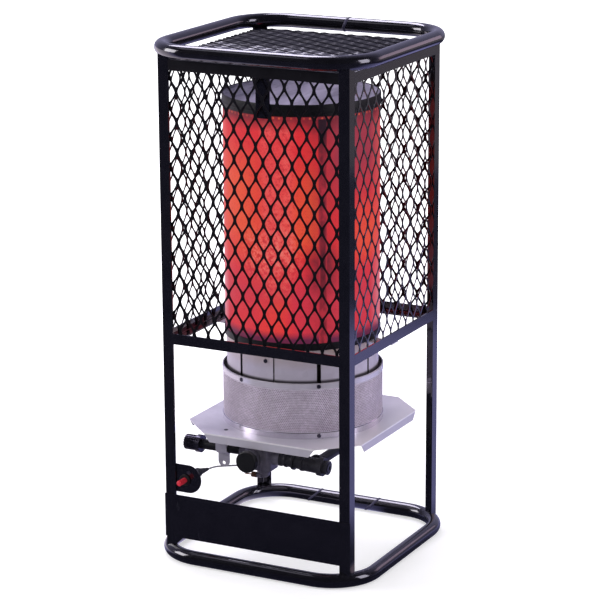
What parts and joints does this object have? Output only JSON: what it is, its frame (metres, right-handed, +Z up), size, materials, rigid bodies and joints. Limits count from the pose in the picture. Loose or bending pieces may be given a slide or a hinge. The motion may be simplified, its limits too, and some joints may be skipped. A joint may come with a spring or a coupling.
{
  "type": "radiant gas heater",
  "caption": "Floor standing radiant gas heater: an upright glowing emitter cylinder over a burner, in a square guard of angle bar and net with a bent tube ring at top and foot.",
  "frame": {"origin": "floor level under the middle of the square foot ring", "axes": "+Z up along the emitter cylinder, -Y to the front with the valve and igniter, +X to the right"},
  "size_m": [0.4, 0.4, 0.879],
  "materials": {
    "black_paint": "gloss black enamel",
    "net_paint": "gloss black enamel over expanded steel",
    "heat_black": "heat resistant black, satin",
    "emitter_glow": "perforated stainless, glowing red",
    "cap_steel": "galvanised, heat dulled",
    "galvanised": "galvanised sheet, fine spangle",
    "perforated_steel": "perforated galvanised sheet",
    "burner_iron": "heat darkened",
    "black_iron": "black malleable iron and steel pipe, semi gloss",
    "cast_zinc": "die cast zinc alloy, matt grey",
    "nut_steel": "black nickel plate",
    "brass": "machined",
    "copper": "copper, lightly tarnished",
    "screw_zinc": "zinc plated",
    "electrode_steel": "heat resistant steel",
    "ceramic": "glazed ceramic, cream",
    "knob_plastic": "moulded phenolic, black",
    "igniter_plastic": "moulded, black",
    "red_plastic": "moulded, red",
    "boot_rubber": "silicone rubber, black",
    "lead_silicone": "silicone sleeved, grey"
  },
  "bodies": {
    "root": {"air_screen": "perforated_steel", "base_plate": "galvanised", "bottom_ring": "black_paint", "burner_can": "galvanised", "burner_head": "burner_iron", "burner_tube": "galvanised", "electrode_insulator": "ceramic", "emitter_cap": "cap_steel", "emitter_lower_rim": "heat_black", "emitter_seam_strip": "heat_black", "emitter_tube": "emitter_glow", "emitter_upper_rim": "heat_black", "feed_pipe": "black_iron", "front_panel": "black_paint", "igniter_body": "igniter_plastic", "igniter_boot": "boot_rubber", "igniter_nut": "screw_zinc", "igniter_plate": "black_paint", "ignition_lead": "lead_silicone", "injector": "brass", "injector_elbow": "black_iron", "inlet_pipe": "black_iron", "lower_rail_front": "black_paint", "lower_rail_left": "black_paint", "lower_rail_rear": "black_paint", "lower_rail_right": "black_paint", "magnet_cup": "cast_zinc", "net_front": "net_paint", "net_left": "net_paint", "net_rear": "net_paint", "net_right": "net_paint", "net_top": "net_paint", "outlet_coupling": "black_iron", "outlet_nipple": "black_iron", "outlet_tee": "black_iron", "pan_screws": "screw_zinc", "pipe_clip": "galvanised", "post_front_left": "black_paint", "post_front_right": "black_paint", "post_rear_left": "black_paint", "post_rear_right": "black_paint", "side_brackets": "galvanised", "spark_electrode": "electrode_steel", "tee_plug": "copper", "thermocouple_lead": "copper", "thermocouple_nut": "brass", "thermocouple_probe": "electrode_steel", "top_rail_front": "black_paint", "top_rail_left": "black_paint", "top_rail_rear": "black_paint", "top_rail_right": "black_paint", "top_ring": "black_paint", "upper_straps": "black_paint", "valve_body": "cast_zinc"},
    "inlet_nut": {"inlet_swivel_nut": "nut_steel"},
    "valve_turn": {"valve_plug": "brass"},
    "knob": {"valve_stem": "brass", "valve_knob": "knob_plastic"},
    "button": {"igniter_button": "red_plastic"}
  },
  "joints": [
    {"name": "inlet_nut_spin", "type": "hinge", "parent": "root", "child": "inlet_nut", "pos_m": [-0.13, -0.14, 0.198], "axis": [-1, 0, 0], "continuous": true},
    {"name": "valve_turn", "type": "hinge", "parent": "root", "child": "valve_turn", "pos_m": [-0.0128, -0.15, 0.1934], "axis": [0, 1, 0], "range_deg": [0, 180]},
    {"name": "knob_push", "type": "slide", "parent": "valve_turn", "child": "knob", "axis": [0, 1, 0], "range_m": [0, 0.004], "stiffness_N_per_m": 2500, "springref_m": -0.002},
    {"name": "igniter_push", "type": "slide", "parent": "root", "child": "button", "axis": [0, 1, 0], "range_m": [0, 0.006], "stiffness_N_per_m": 1500, "springref_m": -0.002}
  ]
}
